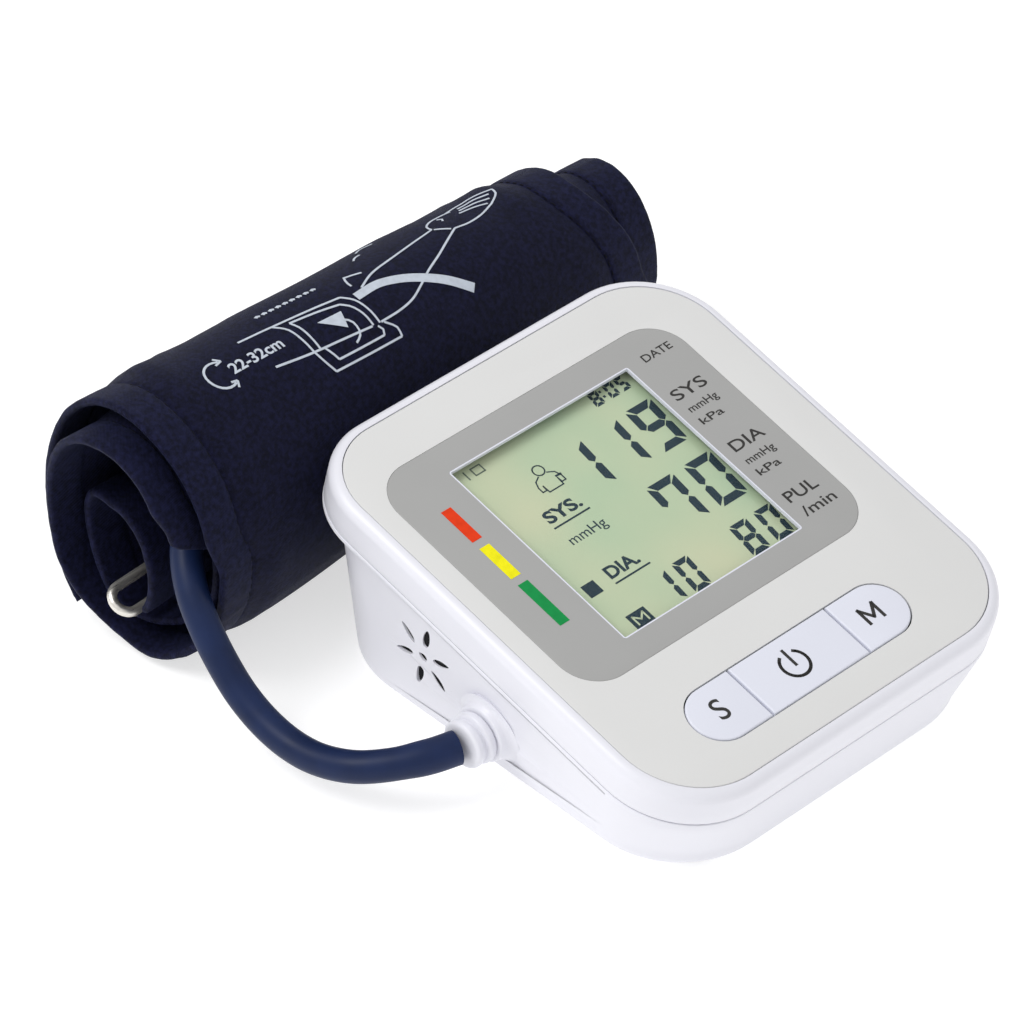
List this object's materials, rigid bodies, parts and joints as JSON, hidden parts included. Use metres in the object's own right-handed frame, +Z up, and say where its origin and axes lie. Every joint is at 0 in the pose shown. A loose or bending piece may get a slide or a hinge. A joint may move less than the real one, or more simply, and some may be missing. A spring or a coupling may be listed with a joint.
{
  "type": "upper arm blood pressure monitor",
  "caption": "Desktop blood pressure monitor with tilted face, display window and three keys, joined by an air hose to a rolled fabric arm cuff with a wire ring.",
  "frame": {"origin": "on the table under the middle of the monitor and its rolled cuff", "axes": "+Z up, +X to the reader's right along the cuff's roll, +Y from the monitor's front edge to the cuff"},
  "size_m": [0.1692, 0.1709, 0.0685],
  "materials": {
    "housing_plastic": "satin",
    "face_plastic": "fine matte",
    "grey_panel": "satin",
    "window_glass": "clear",
    "lcd_glass": "smooth",
    "key_plastic": "satin",
    "inner_plastic": "matte",
    "backlight": "satin",
    "elastomer": "matte",
    "circuit_board": "satin",
    "dark_plastic": "matte",
    "bare_steel": "satin",
    "spring_metal": "bright",
    "battery_wrap": "glossy",
    "soft_tube": "satin",
    "cuff_fabric": "woven",
    "bladder_film": "satin",
    "hose_rubber": "satin"
  },
  "bodies": {
    "monitor": {"upper_shell": "housing_plastic", "lower_shell": "housing_plastic", "hose_socket": "housing_plastic", "face_plate": "face_plastic", "lens_frame": "grey_panel", "display_window": "window_glass", "lcd_panel": "lcd_glass", "lcd_holder": "inner_plastic", "battery_bay": "inner_plastic", "air_tee": "inner_plastic", "pump_head": "inner_plastic", "backlight_plate": "backlight", "zebra_strip": "elastomer", "pump_sleeve": "elastomer", "foot_1": "elastomer", "foot_2": "elastomer", "foot_3": "elastomer", "foot_4": "elastomer", "main_pcb": "circuit_board", "controller_chip": "dark_plastic", "pressure_sensor": "dark_plastic", "switch_set": "dark_plastic", "switch_power": "dark_plastic", "switch_memory": "dark_plastic", "speaker": "dark_plastic", "release_valve": "dark_plastic", "pump_motor": "bare_steel", "case_screw_1": "bare_steel", "case_screw_2": "bare_steel", "case_screw_3": "bare_steel", "case_screw_4": "bare_steel", "contact_spring_1": "spring_metal", "contact_spring_2": "spring_metal", "contact_spring_3": "spring_metal", "contact_spring_4": "spring_metal", "contact_plate_front": "spring_metal", "contact_plate_back": "spring_metal", "battery_1": "battery_wrap", "battery_2": "battery_wrap", "battery_3": "battery_wrap", "battery_4": "battery_wrap", "tube_socket_to_tee": "soft_tube", "tube_tee_to_pump": "soft_tube", "tube_pump_to_valve": "soft_tube"},
    "set_key": {"button_set": "key_plastic"},
    "power_key": {"button_power": "key_plastic"},
    "memory_key": {"button_memory": "key_plastic"},
    "door": {"battery_door": "housing_plastic"},
    "cuff": {"hose_plug": "housing_plastic", "air_hose": "hose_rubber", "cuff_outer_cloth": "cuff_fabric", "cuff_lining": "cuff_fabric", "air_bladder": "bladder_film", "bladder_port": "bladder_film", "hook_strip": "cuff_fabric"},
    "ring": {"metal_ring": "bare_steel"}
  },
  "joints": [
    {"name": "set_key_press", "type": "slide", "parent": "monitor", "child": "set_key", "axis": [0, 0.2233, -0.9748], "range_m": [0, 0.0008], "stiffness_N_per_m": 500},
    {"name": "power_key_press", "type": "slide", "parent": "monitor", "child": "power_key", "axis": [0, 0.2233, -0.9748], "range_m": [0, 0.0008], "stiffness_N_per_m": 500},
    {"name": "memory_key_press", "type": "slide", "parent": "monitor", "child": "memory_key", "axis": [0, 0.2233, -0.9748], "range_m": [0, 0.0008], "stiffness_N_per_m": 500},
    {"name": "door_slide", "type": "slide", "parent": "monitor", "child": "door", "axis": [0, 1, 0], "range_m": [0, 0.008]},
    {"name": "plug_pull", "type": "slide", "parent": "monitor", "child": "cuff", "axis": [-1, 0, 0], "range_m": [0, 0.012]},
    {"name": "ring_hinge", "type": "hinge", "parent": "cuff", "child": "ring", "pos_m": [0, 0.058, 0.0112], "axis": [0.9967, 0.0784, -0.0192], "range_deg": [0, 15]}
  ]
}
